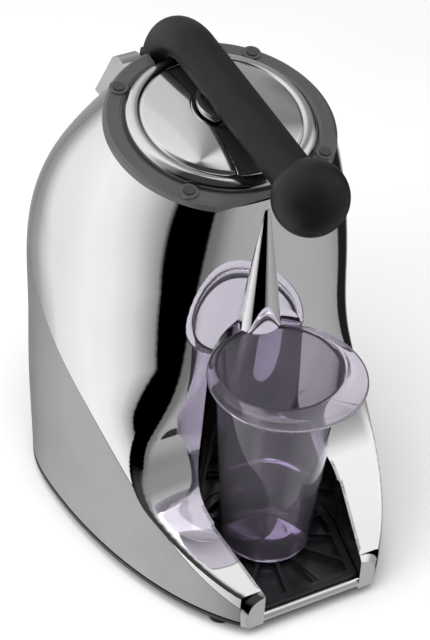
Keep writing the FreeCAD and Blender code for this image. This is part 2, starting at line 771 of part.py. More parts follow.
# Start switch under the lower end of the drive shaft, with its plunger.
switch_top = shaft_bottom - 4
switch_body = box("SwitchBlock", "20", "12", "12", on_head(-10, -6, switch_top - 12))
switch_bore = cylinder("SwitchBore", "2.1", "8", on_head(0, 0, switch_top - 6))
node(combine("Cut", "StartSwitch", [switch_body, switch_bore]), "start_switch")
node(cylinder("SwitchPlunger", "2", "6", on_head(0, 0, switch_top - 3.2)), "switch_plunger")
bracket = block_shape(-12, 12, -8, -6, switch_top - 12, plate_low - 5.9)
bracket.Placement = on_head(0, 0, 0)
node(shaped("SwitchBracket", bracket), "switch_bracket")

# Cord inlet low in the rear cover.
gland_place = at(0, 109, 34, Vector(1, 0, 0), -90)
gland_ring = cylinder("GlandRing", "7", "22", gland_place)
gland_bore = cylinder("GlandBore", "3.6", "40", at(0, 100, 34, Vector(1, 0, 0), -90))
gland = combine("Cut", "CordGland", [gland_ring, gland_bore])
node(gland, "cord_gland")
rear = next(n for n in nodes if n.Label == "rear_cover")
rear.Shape = rear.Shape.cut(Part.makeCylinder(7.0, 60, Vector(0, 100, 34), Vector(0, 1, 0)))

# ---------------------------------------------------------------- lever, lid and hinge

arm_radius = size("arm_radius")
slope = math.radians(size("arm_slope"))
bend = size("arm_bend")
bend_centre = Vector(0, size("arm_bend_y"), size("arm_bend_z"))
ARM_TURN = math.radians(83)       # from the sloping grip round to the upright leg


def on_bend(turn):
    """Point of the arm's axis after this much of the bend."""
    return bend_centre + Vector(0, math.sin(turn - slope), math.cos(turn - slope)) * bend


bend_start = on_bend(0)
along = Vector(0, math.cos(slope), math.sin(slope))
ball_centre = bend_start - along * ((bend_start.y - size("ball_y")) / along.y)
path = Part.Wire([
    Part.LineSegment(ball_centre, bend_start).toShape(),
    Part.Arc(bend_start, on_bend(ARM_TURN / 2), on_bend(ARM_TURN)).toShape(),
])
profile = Part.Wire([Part.Circle(ball_centre, along, arm_radius).toShape()])
arm = path.makePipeShell([profile], True, True)
ankle = on_bend(ARM_TURN)
NECK_WIDE = 11.0                  # half width of the neck between leg and knuckle
neck_corners = [
    Vector(-NECK_WIDE, ankle.y - NECK_WIDE, ankle.z + 2),
    Vector(-NECK_WIDE, ankle.y + NECK_WIDE, ankle.z + 2),
    Vector(-NECK_WIDE, hinge_y + size("knuckle_radius"), hinge_z),
    Vector(-NECK_WIDE, hinge_y - size("knuckle_radius"), hinge_z),
    Vector(-NECK_WIDE, ankle.y - NECK_WIDE, ankle.z + 2),
]
neck = Part.Face(Part.makePolygon(neck_corners)).extrude(Vector(2 * NECK_WIDE, 0, 0))
arm = arm.fuse([neck, across(size("knuckle_radius"), size("knuckle_half"), hinge_y, hinge_z)])
arm = arm.cut(across(size("pin_radius") + 0.05, FAR, hinge_y, hinge_z))
# The bend's inner side stays out of the ring's bore, where the bowl's lip is.
bore_room = Part.makeCylinder(size("ring_bore") + 0.8, FAR)
bore_room.Placement = on_head(0, 0, size("ring_height") / 2 + 0.5 - FAR)
arm = arm.cut(bore_room)
ball = Part.makeSphere(size("ball_radius"), ball_centre)
arm = max(arm.cut(ball).Solids, key=lambda solid: solid.Volume)
node(shaped("LeverArm", arm), "lever_arm")
node(shaped("BallKnob", ball), "ball_knob")

pin = cylinder("HingePin", "pin_radius", "2 * cheek_half", at(-cheek, hinge_y, hinge_z, Vector(0, 1, 0), 90))
node(pin, "hinge_pin")


def dome(drop, thickness, reach):
    """Thin spherical cap of the lid in the head frame."""
    rise = size("lid_rise")
    edge = size("lid_step")
    base = 7.0
    sphere = (edge * edge + rise * rise) / (2 * rise)
    centre = Vector(0, 0, base + rise - sphere)
    cap = Part.makeSphere(sphere - drop, centre).cut(Part.makeSphere(sphere - drop - thickness, centre))
    return cap.common(Part.makeCylinder(reach, FAR, Vector(0, 0, base - 4)))


def lid_rim():
    """Rolled outer edge of the lid: a half round with a short inner step."""
    edge = size("lid_radius")
    step = size("lid_step")
    sheet_thickness = size("lid_sheet")
    middle = (edge + step - 1) / 2
    half = (edge - step + 1) / 2
    outer = Part.Face(Part.Wire([
        Part.Arc(Vector(edge, 0, 4), Vector(middle, 0, 4 + half), Vector(step - 1, 0, 4)).toShape(),
        Part.LineSegment(Vector(step - 1, 0, 4), Vector(step - 1 + sheet_thickness, 0, 4)).toShape(),
        Part.Arc(Vector(step - 1 + sheet_thickness, 0, 4), Vector(middle, 0, 4 + half - sheet_thickness),
                 Vector(edge - sheet_thickness, 0, 4)).toShape(),
        Part.LineSegment(Vector(edge - sheet_thickness, 0, 4), Vector(edge, 0, 4)).toShape(),
    ]))
    return outer.revolve(Vector(0, 0, 0), Vector(0, 0, 1), 360)


def trough_plan(shrink):
    """Plan of the slot under the arm: a straight band and a round around the hub."""
    half = size("trough_half") - shrink
    band = block_shape(-half, half, -FAR, FAR, -FAR, FAR)
    return band.fuse(Part.makeCylinder(size("hub_radius") + 2 - shrink, 2 * FAR, Vector(0, 0, -FAR)))


sheet_thickness = size("lid_sheet")
lid = dome(0, sheet_thickness, size("lid_step")).cut(trough_plan(0)).fuse(lid_rim())
lid = max(lid.Solids, key=lambda s: s.Volume) if len(lid.Solids) > 1 else lid
lid.Placement = on_head(0, 0, 0)
lid = lid.cut(arm)
lid = max(lid.Solids, key=lambda solid: solid.Volume)
trough = dome(3.0, 2.0, size("lid_step") - 1.2)
trough.Placement = on_head(0, 0, 0)
node(shaped("LidDome", lid), "lid_dome")
node(shaped("LidInsert", trough), "lid_insert")

hub_low = 16.0
hub_wall = 3.0
hub = Part.makeCylinder(size("hub_radius"), 6.5, Vector(0, 0, hub_low))
hub = hub.cut(Part.makeCylinder(size("hub_radius") - hub_wall, 20, Vector(0, 0, hub_low - 1)))
hub.Placement = on_head(0, 0, 0)
node(shaped("HubRing", hub.cut(arm)), "hub_ring")
cap = Part.makeCylinder(size("hub_radius") - hub_wall, 5.0, Vector(0, 0, hub_low))
cap.Placement = on_head(0, 0, 0)
node(shaped("HubCap", cap.cut(arm)), "hub_cap")

press = turned("PressCup", [
    ("0", "9"),
    ("8", "7.5"),
    ("reamer_radius - 5", "-5"),
    ("reamer_radius + 5", "-18"),
    ("reamer_radius + 7.5", "-18"),
    ("reamer_radius - 2", "-3"),
    ("10", "10.5"),
    ("0", "12.8"),
], on_head(0, 0, 0))
node(press, "press_cup")

# ---------------------------------------------------------------- cup

cup = turned("Cup", [
    ("0", "0"),
    ("cup_foot_radius - 1.5", "0"),
    ("cup_foot_radius", "1.5"),
    ("cup_rim_radius", "cup_height"),
    ("cup_rim_radius - cup_wall", "cup_height"),
    ("cup_foot_radius - cup_wall", "3"),
    ("cup_foot_radius - cup_wall - 2", "2"),
    ("0", "2"),
], at(0, size("cup_axis"), size("cup_floor")))
flange = padded("CupFlange", lambda body: circle(body, "XY_Plane", "flange_radius", "FlangeEdge", "0",
                                                 "-flange_shift"),
                "flange_thickness", at(0, size("cup_axis"), size("flange_height")))
flange_hole = cylinder("FlangeHole", "cup_rim_radius - cup_wall * 0.6", "20",
                       at(0, size("cup_axis"), size("flange_height") - 5))
flange_plate = combine("Cut", "FlangePlate", [flange, flange_hole])
node(combine("MultiFuse", "CupWithFlange", [cup, flange_plate]), "juice_cup")

# ---------------------------------------------------------------- tray and grid

tray_gap = 0.6
tray_zone = block_shape(-FAR, FAR, prong_cut + tray_gap, FAR, size("tray_bottom"), size("grid_top"))
tray_outer = niche_solid(-tray_gap).common(tray_zone)
tray_inner = niche_solid(-tray_gap - size("tray_wall")).common(
    block_shape(-FAR, FAR, prong_cut + tray_gap + size("tray_wall"), FAR, size("tray_bottom") + 1.4, FAR))
tray = tray_outer.cut(tray_inner)
node(shaped("DripTray", tray), "drip_tray")

grid_low = size("grid_top") - size("grid_thickness")
GRID_PLAY = 0.3
grid_inset = tray_gap + size("tray_wall") + GRID_PLAY
grid_slab = block_shape(-FAR, FAR, prong_cut + grid_inset, FAR, grid_low, size("grid_top"))
grid = niche_solid(-grid_inset).common(grid_slab)
RIBS = 14
RIB_HALF = 1.3
SEAT_RADIUS = 24.0        # round plate under the cup
BORDER = 3.5
border_inset = grid_inset + BORDER
windows = niche_solid(-border_inset).common(block_shape(-FAR, FAR, prong_cut + border_inset, FAR, -1, FAR))
windows = windows.cut(Part.makeCylinder(SEAT_RADIUS, FAR, Vector(0, size("cup_axis"), -1)))
ribs = []
for i in range(RIBS):
    rib = block_shape(-RIB_HALF, RIB_HALF, 0, FAR, -1, FAR)
    rib.rotate(Vector(0, 0, 0), Vector(0, 0, 1), 360.0 * (i + 0.5) / RIBS)
    rib.translate(Vector(0, size("cup_axis"), 0))
    ribs.append(rib)
grid = grid.cut(windows.cut(Part.makeCompound(ribs)))
node(shaped("DripGrid", grid), "drip_grid")

# ---------------------------------------------------------------- fasteners under the floor pan

pan_screws = []
for i, (x, y) in enumerate(LEG_SPOTS):
    head = cylinder("PanScrewHead%d" % i, "4", "1.6", at(x, y, size("foot_height") - 1.6))
    pan_screws.append(head)
node(group("PanScrews", pan_screws), "pan_screws")

# ---------------------------------------------------------------- checks and export

doc.recompute()
for obj in doc.Objects:
    if "Invalid" in obj.State or "Error" in obj.State:
        raise ValueError(obj.Label + " failed to build")
for obj in nodes:
    if obj.Shape.isNull() or not obj.Shape.isValid():
        raise ValueError(obj.Label + " has no valid shape")
os.makedirs("parts", exist_ok=True)
for obj in nodes:
    obj.Shape.exportStep("parts/" + obj.Label + ".step")
    print(obj.Label, len(obj.Shape.Solids), "solid(s)", round(obj.Shape.Volume), "mm3")
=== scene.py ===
import math

import bmesh
import bpy
import numpy as np
from mathutils import Matrix, Vector


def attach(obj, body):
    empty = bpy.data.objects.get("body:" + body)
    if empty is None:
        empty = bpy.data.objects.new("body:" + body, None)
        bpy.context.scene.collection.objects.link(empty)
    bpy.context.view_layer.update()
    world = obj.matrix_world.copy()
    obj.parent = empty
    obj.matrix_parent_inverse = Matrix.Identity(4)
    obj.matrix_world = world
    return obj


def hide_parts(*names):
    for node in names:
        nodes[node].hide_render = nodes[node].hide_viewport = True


# Looks of a citrus press with a lever lid. Metres, +Z up, front towards -Y.

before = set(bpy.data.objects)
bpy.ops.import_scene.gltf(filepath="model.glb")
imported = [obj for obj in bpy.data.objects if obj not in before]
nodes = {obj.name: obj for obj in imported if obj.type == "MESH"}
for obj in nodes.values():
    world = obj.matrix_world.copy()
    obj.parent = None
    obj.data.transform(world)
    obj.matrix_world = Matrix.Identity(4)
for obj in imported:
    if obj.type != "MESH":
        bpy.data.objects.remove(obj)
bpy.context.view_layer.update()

# ---------------------------------------------------------------- node helpers


class Graph:
    """Short way to build one shader's node tree."""

    def __init__(self, tree):
        self.tree = tree

    def add(self, kind, **settings):
        made = self.tree.nodes.new("ShaderNode" + kind)
        for name, value in settings.items():
            setattr(made, name, value)
        return made

    def link(self, source, target):
        self.tree.links.new(source, target)

    def feed(self, socket, value):
        """A plain value is set on the socket, anything else is linked to it."""
        if isinstance(value, bpy.types.NodeSocket):
            self.link(value, socket)
        else:
            socket.default_value = value

    def math(self, operation, first, second=None, clamp=False):
        made = self.add("Math", operation=operation, use_clamp=clamp)
        self.feed(made.inputs[0], first)
        if second is not None:
            self.feed(made.inputs[1], second)
        return made.outputs[0]

    def scaled(self, value, low, high, to_low, to_high):
        made = self.add("MapRange", clamp=True)
        for index, amount in enumerate((value, low, high, to_low, to_high)):
            self.feed(made.inputs[index], amount)
        return made.outputs[0]

    def noise(self, scale, detail=3.0, stretch=(1, 1, 1), distortion=0.0):
        """Noise over the object's own coordinates, stretched along chosen axes."""
        place = self.add("TexCoord")
        mapping = self.add("Mapping")
        mapping.inputs["Scale"].default_value = stretch
        self.link(place.outputs["Object"], mapping.inputs["Vector"])
        made = self.add("TexNoise")
        made.inputs["Scale"].default_value = scale
        made.inputs["Detail"].default_value = detail
        made.inputs["Distortion"].default_value = distortion
        self.link(mapping.outputs[0], made.inputs["Vector"])
        return made.outputs["Fac"]

    def ramp(self, value, stops, smooth="LINEAR"):
        made = self.add("ValToRGB")
        made.color_ramp.interpolation = smooth
        bar = made.color_ramp.elements
        while len(bar) < len(stops):
            bar.new(0.5)
        for element, (position, colour) in zip(bar, stops):
            element.position = position
            element.color = colour if len(colour) == 4 else (*colour, 1)
        self.link(value, made.inputs[0])
        return made.outputs[0]

    def bump(self, height, strength, distance):
        made = self.add("Bump")
        made.inputs["Strength"].default_value = strength
        made.inputs["Distance"].default_value = distance
        self.link(height, made.inputs["Height"])
        return made.outputs[0]


def material(name, colour, roughness, **settings):
    """Principled material and its graph; settings name the shader's own sockets."""
    made = bpy.data.materials.new(name)
    made.use_nodes = True
    shader = made.node_tree.nodes["Principled BSDF"]
    graph = Graph(made.node_tree)
    graph.feed(shader.inputs["Base Color"], colour if len(colour) == 4 else (*colour, 1))
    graph.feed(shader.inputs["Roughness"], roughness)
    for words, value in settings.items():
        graph.feed(shader.inputs[words.replace("_", " ")], value)
    return made, graph, shader


def grey(value):
    return (value, value, value)


# ---------------------------------------------------------------- materials

def chrome():
    """Bright plated finish with faint polishing haze and long soft ripples."""
    made, graph, shader = material("chrome", grey(0.76), 0.03, Metallic=1.0)
    haze = graph.noise(90, 4)
    graph.link(graph.scaled(haze, 0.3, 0.8, 0.018, 0.055), shader.inputs["Roughness"])
    tint = graph.scaled(graph.noise(12, 2), 0.3, 0.7, 0.0, 1.0)
    shade = graph.ramp(tint, ((0.0, (0.74, 0.74, 0.75)), (1.0, (0.78, 0.78, 0.78))))
    graph.link(shade, shader.inputs["Base Color"])
    return made


def lid_chrome():
    """Brighter plated sheet with a slight haze."""
    made, graph, shader = material("lid_chrome", grey(0.66), 0.09, Metallic=1.0)
    haze = graph.noise(70, 4)
    graph.link(graph.scaled(haze, 0.3, 0.75, 0.06, 0.12), shader.inputs["Roughness"])
    graph.link(graph.ramp(haze, ((0.3, grey(0.64)), (0.7, grey(0.68)))), shader.inputs["Base Color"])
    return made


def polished_steel():
    """Pressed steel sheet with a soft sheen and fine turning marks."""
    made, graph, shader = material("polished_steel", grey(0.7), 0.16, Metallic=1.0)
    haze = graph.noise(150, 5)
    graph.link(graph.scaled(haze, 0.3, 0.75, 0.10, 0.20), shader.inputs["Roughness"])
    graph.link(graph.bump(graph.noise(900, 2, (1, 1, 0.2)), 0.05, 0.0002), shader.inputs["Normal"])
    return made


def satin_silver():
    """Satin metal paint with a very fine grain."""
    made, graph, shader = material("satin_silver", grey(0.5), 0.36, Metallic=0.9)
    grain = graph.noise(2600, 3)
    shade = graph.ramp(grain, ((0.3, grey(0.34)), (0.7, grey(0.44))))
    graph.link(shade, shader.inputs["Base Color"])
    graph.link(graph.scaled(graph.noise(40, 3), 0.3, 0.7, 0.33, 0.42), shader.inputs["Roughness"])
    graph.link(graph.bump(grain, 0.06, 0.0002), shader.inputs["Normal"])
    return made


def plastic(name, colour, roughness, grain=1800.0, depth=0.1, **settings):
    """Moulded plastic with a fine grain and uneven sheen."""
    made, graph, shader = material(name, colour, roughness, **settings)
    graph.link(graph.scaled(graph.noise(60, 4), 0.3, 0.7, roughness * 0.85, roughness * 1.2),
               shader.inputs["Roughness"])
    graph.link(graph.bump(graph.noise(grain, 3), depth, 0.0003), shader.inputs["Normal"])
    low = tuple(channel * 0.88 for channel in colour)
    shade = graph.ramp(graph.noise(25, 3), ((0.35, low), (0.65, colour)))
    graph.link(shade, shader.inputs["Base Color"])
    return made


def clear(name, colour, see_through, roughness=0.02):
    """Clear moulded plastic, tinted in its body."""
    made, graph, shader = material(name, colour, roughness, IOR=1.49)
    shader.inputs["Transmission Weight"].default_value = see_through
    ripple = graph.noise(30, 2)
    graph.link(graph.bump(ripple, 0.03, 0.001), shader.inputs["Normal"])
    return made


def turned_steel():
    """Ground shaft steel with fine rings round it."""
    made, graph, shader = material("turned_steel", grey(0.55), 0.28, Metallic=1.0)
    rings = graph.noise(1500, 2, (0.05, 0.05, 1))
    graph.link(graph.scaled(rings, 0.3, 0.7, 0.2, 0.38), shader.inputs["Roughness"])
    graph.link(graph.bump(rings, 0.15, 0.0002), shader.inputs["Normal"])
    return made


def zinc():
    made, graph, shader = material("zinc", (0.52, 0.53, 0.55), 0.35, Metallic=1.0)
    spangle = graph.noise(260, 4, distortion=1.5)
    graph.link(graph.ramp(spangle, ((0.35, (0.42, 0.43, 0.46)), (0.65, (0.58, 0.59, 0.6)))),
               shader.inputs["Base Color"])
    graph.link(graph.scaled(spangle, 0.3, 0.7, 0.28, 0.42), shader.inputs["Roughness"])
    return made


LOOKS = {
    "chrome": chrome(),
    "polished_steel": polished_steel(),
    "satin_silver": satin_silver(),
    "soft_black": plastic("soft_black", grey(0.007), 0.46, 2400, 0.10, Specular_IOR_Level=0.26),
    "black": plastic("black", grey(0.02), 0.4, 1600, 0.15),
    "gloss_black": plastic("gloss_black", grey(0.012), 0.2, 900, 0.04),
    "smoky": plastic("smoky", grey(0.075), 0.16, 300, 0.03, Specular_IOR_Level=0.6),
    "lid_chrome": lid_chrome(),
    "screw": plastic("screw", grey(0.12), 0.3, 1200, 0.03, Metallic=0.8),
    "dull_chrome": plastic("dull_chrome", grey(0.55), 0.12, 1200, 0.03, Metallic=1.0),
    "white": plastic("white", (0.72, 0.71, 0.67), 0.45, 900, 0.1),
    "violet": clear("violet", (0.72, 0.675, 0.775), 0.955),
    "clear": clear("clear", (0.92, 0.93, 0.94), 0.98),
    "rubber": plastic("rubber", grey(0.015), 0.7, 1500, 0.3),
    "turned_steel": turned_steel(),
    "zinc": zinc(),
    "bronze": plastic("bronze", (0.42, 0.27, 0.11), 0.38, 1800, 0.2, Metallic=0.9),
}

NODE_LOOKS = {
    "chrome": ("chrome_shell", "niche_liner", "spout_beak", "front_trim", "hub_ring"),
    "dull_chrome": ("hinge_saddle",),
    "screw": ("ring_screws",),
    "satin_silver": ("side_panel_left", "side_panel_right", "rear_cover"),
    "polished_steel": ("lid_dome", "reamer_cone", "sieve"),
    "soft_black": ("lever_arm", "ball_knob"),
    "black": ("lid_insert", "hub_cap", "floor_pan", "start_switch", "switch_plunger"),
    "gloss_black": ("drip_tray", "drip_grid"),
    "smoky": ("splash_ring", "juice_bowl", "press_cup"),
    "white": ("gearbox_base", "gearbox_lid", "gearbox_wall", "gearbox_legs", "drive_gear"),
    "violet": ("juice_cup",),
    "clear": ("spout_tube",),
    "rubber": ("rubber_feet", "cord_gland"),
    "turned_steel": ("drive_shaft", "motor_shaft", "hinge_pin"),
    "zinc": ("motor_can", "switch_bracket", "pan_screws"),
    "bronze": ("drive_bushes", "motor_pinion"),
}
for look, names in NODE_LOOKS.items():
    for name in names:
        for holder in nodes[name].material_slots:
            holder.material = LOOKS[look]

# ---------------------------------------------------------------- housing skin

# Level sections of the housing: height, half width, middle in Y, reach backwards, reach forwards.
LEVELS = (
    (0.008, 0.1065, 0.028, 0.090, 0.1985),
    (0.035, 0.1055, 0.028, 0.1015, 0.200),
    (0.066, 0.1055, 0.0275, 0.110, 0.187),
    (0.126, 0.1035, 0.029, 0.1183, 0.1175),
    (0.186, 0.1025, 0.0315, 0.1168, 0.1015),
    (0.241, 0.092, 0.0225, 0.1045, 0.088),
)
REAR_FULLNESS = 2.35          # the rear half is a little squarer than an ellipse
HEAD = Vector((0, 0.0076, 0.2955))
HEAD_TILT = math.radians(10)
RING_RADIUS = 0.0745
RING_HALF_HEIGHT = 0.003
FRONT_END = -0.150
FRONT_FACE = -0.0562          # 0.2 mm proud of the niche liner's edge
PRONG_TOP = 0.033
WING_SLOPE = math.atan(0.47)
SWEEP_RADIUS = 0.046
TRIM_BACK = -0.1456           # the front trim takes over in front of this
SEAM_FRONT = 0.022
SEAM_SLOPE = 0.645
REAR_SPLIT = 0.086
SEAM_GAP = 0.0005
SKIN = 0.0022
ROUND_STEPS = 720             # points round a section before it is resampled
FRONT_STEPS = 110
BACK_STEPS = 190
ROWS_PER_LEVEL = (14, 30, 40, 20, 20, 24)
NICHE_AXIS = -0.086
NICHE_FOOT = 0.0501
NICHE_CROWN = 0.0461
ARCH_SPRING = 0.158
ARCH_RADIUS = 0.0351
NICHE_TAPER = math.radians(13)
CHIN = 0.0122                 # lower edge of the panels, over the floor pan
HEAD_FRAME = Matrix.Translation(HEAD) @ Matrix.Rotation(HEAD_TILT, 4, "X")


def natural_spline(knots, values, wanted):
    """Smooth curve through the values at the knots, read at the wanted places."""
    steps = np.diff(knots)
    system = np.eye(len(knots))
    right = np.zeros_like(values)
    for i in range(1, len(knots) - 1):
        system[i, i - 1:i + 2] = steps[i - 1], 2 * (steps[i - 1] + steps[i]), steps[i]
        rise = (values[i + 1] - values[i]) / steps[i]
        right[i] = 6 * (rise - (values[i] - values[i - 1]) / steps[i - 1])
    bends = np.linalg.solve(system, right)
    rows = []
    for place in wanted:
        i = int(np.clip(np.searchsorted(knots, place, side="right") - 1, 0, len(steps) - 1))
        left = (knots[i + 1] - place) / steps[i]
        past = 1 - left
        bend = (left ** 3 - left) * bends[i] + (past ** 3 - past) * bends[i + 1]
        rows.append(left * values[i] + past * values[i + 1] + bend * steps[i] ** 2 / 6)
    return np.array(rows)


def egg_rows():
    """Rows of points round the egg before its front is flattened, from the foot up to the ring."""
    sections = []
    for height, half_width, middle, back, front in LEVELS:
        ring = []
        for step in range(ROUND_STEPS):
            angle = 2 * math.pi * step / ROUND_STEPS
            x, y = math.cos(angle), math.sin(angle)
            if y > 0:
                x = math.copysign(abs(x) ** (2 / REAR_FULLNESS), x)
                y = y ** (2 / REAR_FULLNESS)
            ring.append((half_width * x, middle + (back if y > 0 else front) * y, height))
        sections.append(ring)
    top = []
    for step in range(ROUND_STEPS):
        angle = 2 * math.pi * step / ROUND_STEPS
        rim = Vector((RING_RADIUS * math.cos(angle), RING_RADIUS * math.sin(angle), -RING_HALF_HEIGHT))
        top.append(tuple(HEAD_FRAME @ rim))
    sections.append(top)
    values = np.array(sections)
    chords = np.linalg.norm(np.diff(values, axis=0), axis=2).mean(axis=1)
    knots = np.concatenate(([0.0], np.cumsum(chords)))
    wanted = [knots[0]]
    for i, rows in enumerate(ROWS_PER_LEVEL):
        wanted += [knots[i] + (knots[i + 1] - knots[i]) * (j + 1) / rows for j in range(rows)]
    count = len(LEVELS) + 1
    flat = natural_spline(knots, values.reshape(count, -1), wanted)
    return flat.reshape(len(wanted), ROUND_STEPS, 3)


SWEEP_MIDDLE_Y = FRONT_FACE - SWEEP_RADIUS
SWEEP_MIDDLE_Z = (PRONG_TOP + (SWEEP_MIDDLE_Y - FRONT_END) * math.tan(WING_SLOPE)
                  + SWEEP_RADIUS / math.cos(WING_SLOPE))
SWEEP_LOW_Z = SWEEP_MIDDLE_Z - SWEEP_RADIUS * math.cos(WING_SLOPE)


def front_line(z):
    """Y of the front at a height: prong end, sloping wing top, round sweep, then the flat face."""
    if z <= PRONG_TOP:
        return FRONT_END
    if z <= SWEEP_LOW_Z:
        return FRONT_END + (z - PRONG_TOP) / math.tan(WING_SLOPE)
    if z < SWEEP_MIDDLE_Z:
        drop = SWEEP_MIDDLE_Z - z
        return SWEEP_MIDDLE_Y + math.sqrt(SWEEP_RADIUS ** 2 - drop ** 2)
    return FRONT_FACE


ROUND_HIGH = 0.013            # how far the rounded corner reaches beside the flat face
ROUND_LOW = 0.004             # and along the wings' top edges
MIDDLE_Y = -0.01


def flattened(row):
    """Resample a row of the egg with its front pulled back to the front line.

    Samples crowd towards the two corners between the flat front and the sides, and every
    row has them at the same places, so the corners run cleanly from row to row.
    """
    away = np.hypot(row[:, 0], row[:, 1] - MIDDLE_Y)
    turn = np.unwrap(np.arctan2(row[:, 0], MIDDLE_Y - row[:, 1]))
    order = np.argsort(turn)
    turn, away, height = turn[order], away[order], row[order, 2]
    turn = np.concatenate((turn - 2 * math.pi, turn, turn + 2 * math.pi))
    away, height = np.tile(away, 3), np.tile(height, 3)
    limit = np.array([front_line(z) for z in height])
    with np.errstate(divide="ignore"):
        to_front = np.where(np.cos(turn) > 0.01, (MIDDLE_Y - limit) / np.maximum(np.cos(turn), 0.01), 9.0)
    inside = (turn > 0) & (turn < math.pi)
    corner = turn[inside][np.argmax(to_front[inside] > away[inside])]
    ease = (1 - np.cos(np.linspace(0, math.pi, FRONT_STEPS + 1)[:-1])) / 2
    wanted = -corner + 2 * corner * ease
    ease = (1 - np.cos(np.linspace(0, math.pi, BACK_STEPS + 1)[:-1])) / 2
    wanted = np.concatenate((wanted, corner + (2 * math.pi - 2 * corner) * ease))
    away = np.interp(wanted, turn, away)
    height = np.interp(wanted, turn, height)
    limit = np.array([front_line(z) for z in height])
    forwards = np.cos(wanted)
    to_front = np.where(forwards > 0.01, (MIDDLE_Y - limit) / np.maximum(forwards, 0.01), 9.0)
    rise = np.clip((height - PRONG_TOP) / (SWEEP_MIDDLE_Z - PRONG_TOP), 0, 1)
    reach = ROUND_LOW + (ROUND_HIGH - ROUND_LOW) * rise ** 2
    share = np.clip(0.5 + 0.5 * (to_front - away) / reach, 0, 1)
    kept = to_front * (1 - share) + away * share - reach * share * (1 - share)
    return np.column_stack((kept * np.sin(wanted), MIDDLE_Y - kept * forwards, height))


def niche_half(y, z):
    """Half width of the cup's niche at a place; negative where there is none."""
    radius = NICHE_FOOT + (NICHE_CROWN - NICHE_FOOT) * min(z / ARCH_SPRING, 1)
    side_y = NICHE_AXIS - NICHE_FOOT * math.sin(NICHE_TAPER)
    if y < side_y and z < ARCH_SPRING:
        return NICHE_FOOT * math.cos(NICHE_TAPER) + (y - side_y) * math.tan(NICHE_TAPER)
    inside = radius ** 2 - (y - NICHE_AXIS) ** 2
    half = math.sqrt(inside) if inside > 0 else -0.01
    if z > ARCH_SPRING:
        over = ARCH_RADIUS ** 2 - (z - ARCH_SPRING) ** 2
        half = min(half, math.sqrt(over) if over > 0 else ARCH_SPRING + ARCH_RADIUS - z)
    return half


def cut_along(mesh, measure):
    """Split faces where the measure changes sign, so that its zero line becomes edges."""
    values = {vert: measure(vert.co) for vert in mesh.verts}
    fresh = set()
    for edge in list(mesh.edges):
        first, second = edge.verts
        a, b = values[first], values[second]
        if a * b < 0:
            _, vert = bmesh.utils.edge_split(edge, first, a / (a - b))
            values[vert] = 0.0
            fresh.add(vert)
    for face in list(mesh.faces):
        marks = [vert for vert in face.verts if vert in fresh or values[vert] == 0.0]
        if len(marks) == 2 and not any(set(edge.verts) == set(marks) for edge in face.edges):
            bmesh.utils.face_split(face, marks[0], marks[1])


def keep_where(mesh, measure):
    """Cut along the measure's zero line and drop the faces on its negative side."""
    cut_along(mesh, measure)
    gone = [face for face in mesh.faces if measure(face.calc_center_median()) < 0]
    bmesh.ops.delete(mesh, geom=gone, context="FACES")


def over_seam(co):
    above = co.z - SEAM_FRONT - (co.y - FRONT_END) * SEAM_SLOPE
    on_front = SKIN + SEAM_GAP - (co.y - front_line(co.z))
    return max(above, on_front)


def outside_niche(co):
    if co.y > NICHE_AXIS + NICHE_CROWN:
        return 1.0
    return abs(co.x) - niche_half(co.y, co.z)


def skin_piece(name, look, measures, body="housing"):
    """One sheet of the housing's skin, bounded by the measures, with real thickness."""
    mesh = bmesh.new()
    rows = [[mesh.verts.new(point) for point in row] for row in SKIN_ROWS]
    for low, high in zip(rows, rows[1:]):
        for i in range(len(low)):
            j = (i + 1) % len(low)
            mesh.faces.new((low[i], low[j], high[j], high[i]))
    for measure in measures:
        keep_where(mesh, measure)
    bmesh.ops.remove_doubles(mesh, verts=mesh.verts, dist=0.00002)
    for face in mesh.faces:
        face.smooth = True
    for edge in mesh.edges:
        edge.smooth = not edge.is_boundary
    data = bpy.data.meshes.new(name)
    mesh.to_mesh(data)
    mesh.free()
    made = bpy.data.objects.new(name, data)
    bpy.context.scene.collection.objects.link(made)
    data.materials.append(LOOKS[look])
    thick = made.modifiers.new("thickness", "SOLIDIFY")
    thick.thickness = SKIN
    thick.offset = -1
    thick.use_even_offset = True
    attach(made, body)
    return made


SKIN_ROWS = [flattened(row) for row in egg_rows()]

chrome_skin = skin_piece("chrome_skin", "chrome", (
    lambda co: over_seam(co) - SEAM_GAP / 2,
    outside_niche,
    lambda co: co.y - TRIM_BACK,
))
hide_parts("chrome_shell")
for side, sign in (("left", -1), ("right", 1)):
    made = skin_piece("panel_skin_" + side, "satin_silver", (
        lambda co: -over_seam(co) - SEAM_GAP / 2,
        lambda co: sign * co.x,
        outside_niche,
        lambda co: REAR_SPLIT - SEAM_GAP / 2 - co.y,
        lambda co: co.y - TRIM_BACK,
        lambda co: co.z - CHIN,
    ))
    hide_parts("side_panel_" + side)
rear_skin = skin_piece("rear_skin", "satin_silver", (
    lambda co: -over_seam(co) - SEAM_GAP / 2,
    lambda co: co.y - REAR_SPLIT - SEAM_GAP / 2,
    lambda co: co.z - CHIN,
))
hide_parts("rear_cover")

# ---------------------------------------------------------------- turned pieces: lid and cup

TURN_STEPS = 192


